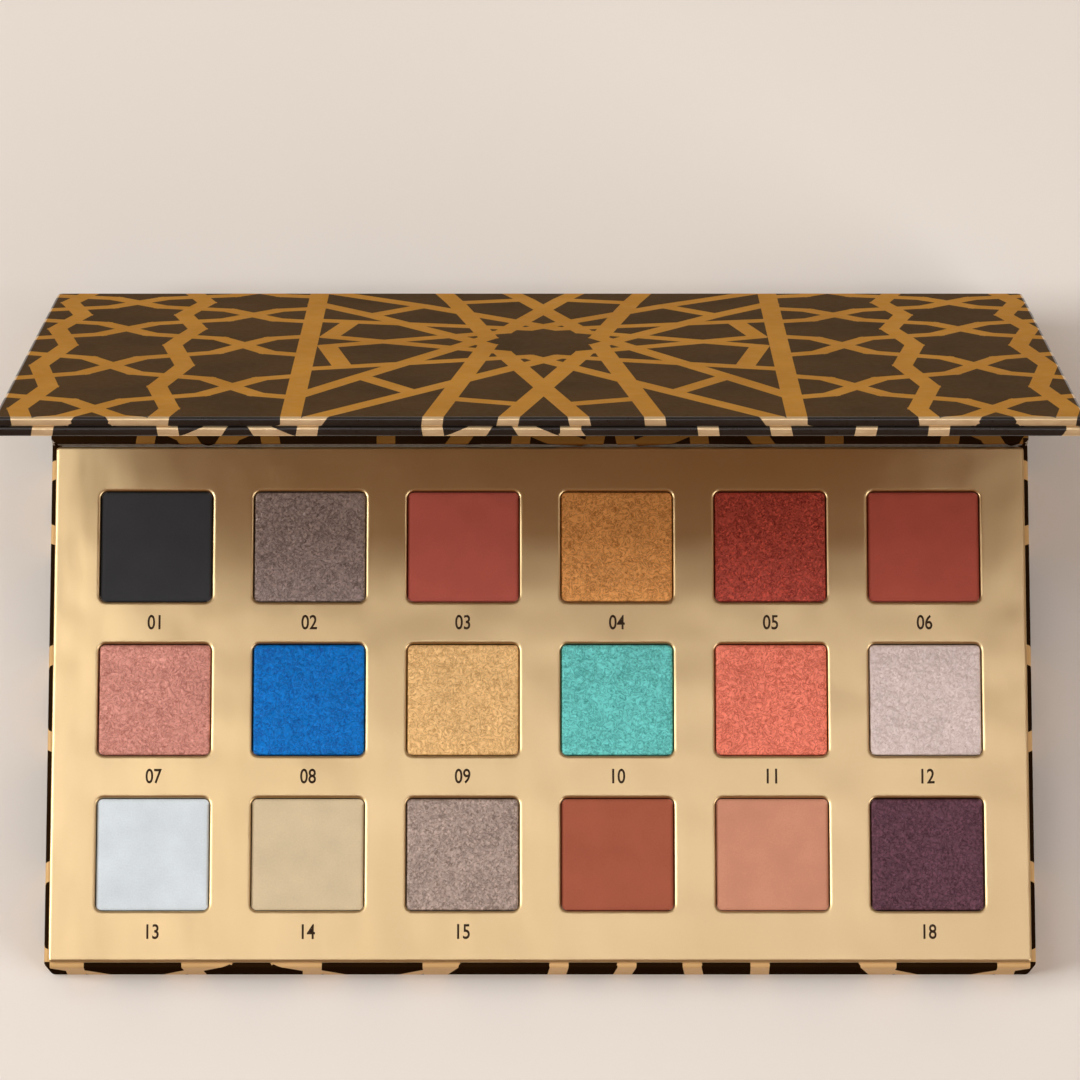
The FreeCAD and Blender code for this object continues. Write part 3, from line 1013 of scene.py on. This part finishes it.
def cake_face(middle, half, top, size, crinkled, seed):
    """Points and faces of the pressed face: a square grid, pulled in at its rounded corners."""
    points = []
    straight = half - POWDER_CORNER
    for row in range(size + 1):
        for column in range(size + 1):
            x = (2.0 * column / size - 1.0) * half
            y = (2.0 * row / size - 1.0) * half
            past_x = abs(x) - straight
            past_y = abs(y) - straight
            if past_x > 0.0 and past_y > 0.0:
                pull = max(past_x, past_y) / math.hypot(past_x, past_y)
                x = math.copysign(straight + past_x * pull, x)
                y = math.copysign(straight + past_y * pull, y)
            rise = powder_height(x, y, half, crinkled, seed)
            points.append(Vector((middle.x + x, middle.y + y, top + rise)))
    faces = []
    for row in range(size):
        for column in range(size):
            k = row * (size + 1) + column
            faces.append([k, k + 1, k + size + 2, k + size + 1])
    return points, faces


def cake_rim(size):
    """Numbers of the outer points of a cake's grid, in order round it."""
    rim = list(range(size))
    rim += [size + row * (size + 1) for row in range(size)]
    rim += [size * (size + 1) + size - column for column in range(size)]
    rim += [(size - row) * (size + 1) for row in range(size)]
    return rim


def powder_cake(number, name, crinkled, colour):
    """Pressed cake that fills its pan and laps a little over the pan's rim."""
    node = "powder_%02d" % number
    low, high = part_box(node)
    middle = (low + high) / 2.0
    inner = (high.x - low.x) / 2.0 - POWDER_SIDE_GAP
    half = inner + POWDER_LIP
    rim_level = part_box("pan_%02d" % number)[1].z + POWDER_RIM_GAP
    size = SHIMMER_GRID if crinkled else MATTE_GRID
    points, faces = cake_face(middle, half, rim_level + POWDER_LIP_HEIGHT, size, crinkled, number)
    rim = cake_rim(size)
    count = len(rim)
    rings = [rim]
    for reach, level in ((half, rim_level), (inner, rim_level), (inner, high.z - POWDER_SKIRT)):
        ring = []
        for k in rim:
            ring.append(len(points))
            away = (points[k] - middle) * (reach / half)
            points.append(Vector((middle.x + away.x, middle.y + away.y, level)))
        rings.append(ring)
    for upper, lower in zip(rings, rings[1:]):
        for k in range(count):
            faces.append([upper[k], lower[k], lower[(k + 1) % count], upper[(k + 1) % count]])
    faces.append(rings[-1][::-1])
    if crinkled:
        material = shimmer_powder("powder_" + name, colour, crinkled)
    else:
        material = matte_powder("powder_" + name, colour)
    obj = mesh_object("cake_%02d" % number, points, faces, [material], smooth_angle=80.0)
    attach(obj, "base")
    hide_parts(node)


def pan_number(number):
    """Plain number printed on the card in front of a pan."""
    low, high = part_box("pan_%02d" % number)
    middle = (low + high) / 2.0
    text = bpy.data.curves.new("number_text", "FONT")
    text.body = "%02d" % number
    text.align_x = "CENTER"
    text.align_y = "CENTER"
    text.size = 1.0
    text.resolution_u = 6
    text.offset = NUMBER_WEIGHT
    holder = bpy.data.objects.new("number_holder", text)
    bpy.context.scene.collection.objects.link(holder)
    bpy.context.view_layer.update()
    mesh = bpy.data.meshes.new_from_object(holder.evaluated_get(bpy.context.evaluated_depsgraph_get()))
    bpy.data.objects.remove(holder)
    heights = [v.co.y for v in mesh.vertices]
    scale = NUMBER_HEIGHT / (max(heights) - min(heights))
    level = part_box("gold_card")[1].z + NUMBER_RAISE
    place = Matrix.Translation((middle.x, middle.y - NUMBER_DROP, level))
    centre_y = (max(heights) + min(heights)) / 2.0
    mesh.transform(place @ Matrix.Diagonal((scale * NUMBER_SQUEEZE, scale, 1.0, 1.0))
                   @ Matrix.Translation((0.0, -centre_y, 0.0)))
    mesh.materials.clear()
    mesh.materials.append(INK)
    obj = bpy.data.objects.new("number_%02d" % number, mesh)
    bpy.context.scene.collection.objects.link(obj)
    solid = obj.modifiers.new("ink", "SOLIDIFY")
    solid.thickness = NUMBER_RAISE * 2.0
    solid.offset = -1.0
    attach(obj, "base")


def hinge_section():
    """Points up the back of the base, round the crease and up the lid's back edge, on the middle plane."""
    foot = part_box("hinge_strip")[0].z
    lid_top = closed_box("lid_outer_wrap")[1].z
    base_side = [Vector((0.0, PIVOT.y, foot))]
    base_side += [PIVOT - Vector((0.0, 0.0, CREASE * k)) for k in reversed(CREASE_STOPS)]
    lid_side = [OPEN_LID @ (PIVOT + Vector((0.0, 0.0, CREASE * k))) for k in CREASE_STOPS[:-1]]
    lid_side.append(OPEN_LID @ Vector((0.0, PIVOT.y, lid_top - PAPER)))
    bend = [base_side[-1].lerp(PIVOT, 0.5), PIVOT.copy(), PIVOT.lerp(lid_side[0], 0.5)]
    return base_side, bend, lid_side


def hinge_paper():
    """One printed strip from the back of the base to the lid, which bends along the crease."""
    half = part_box("hinge_strip")[1].x
    base_side, bend, lid_side = hinge_section()
    section = base_side + bend + lid_side
    lengths = [0.0]
    for a, b in zip(section, section[1:]):
        lengths.append(lengths[-1] + (b - a).length)
    total = lengths[-1]
    points = [Vector(p) for p in ((-half, 0.0), (half, 0.0), (half, total), (-half, total))]
    faces = [[0, 1, 2, 3]]
    edges = []
    for quad in strap_quads((-half, 0.0), (half, total), HINGE_SHIFT):
        faces.append(list(range(len(points), len(points) + 4)))
        points += quad
    for length in lengths[1:-1]:
        edges.append((len(points), len(points) + 1))
        points += [Vector((-half, length)), Vector((half, length))]
    flat, _, tiles, _, _, origins = delaunay_2d_cdt(points, edges, faces, 1, CUT_TOLERANCE)
    kept = []
    indices = []
    for tile, origin in zip(tiles, origins):
        if 0 in origin:
            kept.append(list(tile))
            indices.append(1 if len(origin) > 1 else 0)
    space = []
    for x, run in flat:
        k = max(i for i in range(len(lengths) - 1) if lengths[i] <= run + 1e-9 or i == 0)
        p = section[k].lerp(section[k + 1], (run - lengths[k]) / (lengths[k + 1] - lengths[k]))
        space.append(Vector((-x, p.y, p.z)))
    obj = mesh_object("hinge_paper", space, kept, [WALL_DARK_AND_REFLECTION, WALL_GOLD], indices, smooth_angle=80.0)
    drop_loose(obj)
    solid = obj.modifiers.new("thickness", "SOLIDIFY")
    solid.thickness = HINGE_PAPER
    solid.offset = -1.0
    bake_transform(obj)
    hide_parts("hinge_strip")


def dress_nodes():
    """Materials on the CAD nodes that no finer piece replaces."""
    for node in ("bottom_board", "front_wall", "back_wall", "left_wall", "right_wall", "cross_wall",
                 "ledge_board", "lid_outer_board", "lid_inner_frame"):
        dress(node, GREYBOARD)
    for node in ("foam_bed", "rear_filler"):
        dress(node, FOAM)
    for node in ("base_magnets", "lid_magnets"):
        dress(node, STEEL)
    for node in ("pan_glue", "mirror_tape"):
        dress(node, GLUE)
    for number in range(1, PAN_COUNT + 1):
        dress("pan_%02d" % number, TIN_PAINTED_SHADE)
    dress("bottom_liner", LINER)
    dress("mirror", MIRROR)


# Studio: what the part reflects from in front and from behind, and where the one turns into the other
BACKDROP_FRONT = (0.18, 0.0594, 0.0036)
BACKDROP_BACK = (0.29, 0.25, 0.21)
BACKDROP_TURN = (0.25, 0.55)
FLOOR_REACH = 4.0
LIGHT_AIM = Vector((0.0, 0.0, 0.02))

# Each lamp's name, place, size, power in watts and colour
LIGHTS = (
    ("strip", (0.0, 0.03, 1.6), (2.0, 0.16), 3.8, (1.0, 1.05, 1.17)),
    ("near", (0.0, 0.022, 0.3), (0.40, 0.06), 0.042, (1.0, 1.05, 1.17)),
    ("key", (-1.7, -0.1, 1.5), (0.9, 0.9), 31.5, (0.99, 1.0, 1.0)),
    ("fill", (1.6, -0.8, 1.4), (1.2, 1.2), 16.5, (0.99, 1.0, 1.0)),
    ("back", (-0.6, 0.4, 1.5), (0.6, 0.6), 2.4, (1.0, 1.0, 1.0)),
)


def soft_light(name, place, size, power, colour):
    """Rectangular lamp that faces the part and isn't seen itself."""
    light = bpy.data.lights.new(name, "AREA")
    light.shape = "RECTANGLE"
    light.size, light.size_y = size
    light.energy = power
    light.color = colour
    obj = bpy.data.objects.new(name, light)
    obj.location = place
    obj.rotation_euler = (LIGHT_AIM - Vector(place)).to_track_quat("-Z", "Y").to_euler()
    obj.visible_camera = False
    bpy.context.scene.collection.objects.link(obj)


def backdrop():
    """World that is warm in front of the part and above it, and pale behind it."""
    world = bpy.context.scene.world or bpy.data.worlds.new("studio")
    bpy.context.scene.world = world
    world.use_nodes = True
    tree = world.node_tree
    place = tree.nodes.new("ShaderNodeTexCoord")
    direction = tree.nodes.new("ShaderNodeSeparateXYZ")
    tree.links.new(place.outputs["Generated"], direction.inputs["Vector"])
    colour = ramp(tree, direction.outputs["Y"], list(zip(BACKDROP_TURN, (BACKDROP_FRONT, BACKDROP_BACK))))
    background = tree.nodes["Background"]
    tree.links.new(colour, background.inputs["Color"])
    background.inputs["Strength"].default_value = 1.0


def studio():
    """Pale floor and soft lamps, from the upper left, the right, above and behind."""
    reach = FLOOR_REACH
    corners = [(-reach, -reach, 0.0), (reach, -reach, 0.0), (reach, reach, 0.0), (-reach, reach, 0.0)]
    floor = mesh_object("studio_floor", corners, [[0, 1, 2, 3]], [floor_paper()])
    backdrop()
    for light in LIGHTS:
        soft_light(*light)
    bpy.context.scene.view_settings.view_transform = "Standard"


def camera():
    """Camera at the photograph's viewing angle."""
    data = bpy.data.cameras.new("camera")
    data.sensor_width = SENSOR_WIDTH
    data.lens = CAMERA_FOCAL_PIXELS / PHOTO_PIXELS * SENSOR_WIDTH
    obj = bpy.data.objects.new("camera", data)
    bpy.context.scene.collection.objects.link(obj)
    aim = Vector((0.0, CAMERA_AIM_Y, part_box("gold_card")[1].z))
    back = Vector((0.0, -math.cos(CAMERA_ELEVATION), math.sin(CAMERA_ELEVATION)))
    obj.location = aim + back * CAMERA_DISTANCE
    obj.rotation_euler = (-back).to_track_quat("-Z", "Y").to_euler()
    bpy.context.scene.camera = obj


dress_nodes()
base_paper()
ledge_paper()
lid_cover_paper()
lid_frame_paper()
hinge_paper()
gold_card()
for shade_number, (shade_name, shade_crinkle, shade_colour) in enumerate(SHADES, 1):
    powder_cake(shade_number, shade_name, shade_crinkle, shade_colour)
    if shade_number not in NUMBER_BARE:
        pan_number(shade_number)
studio()
camera()
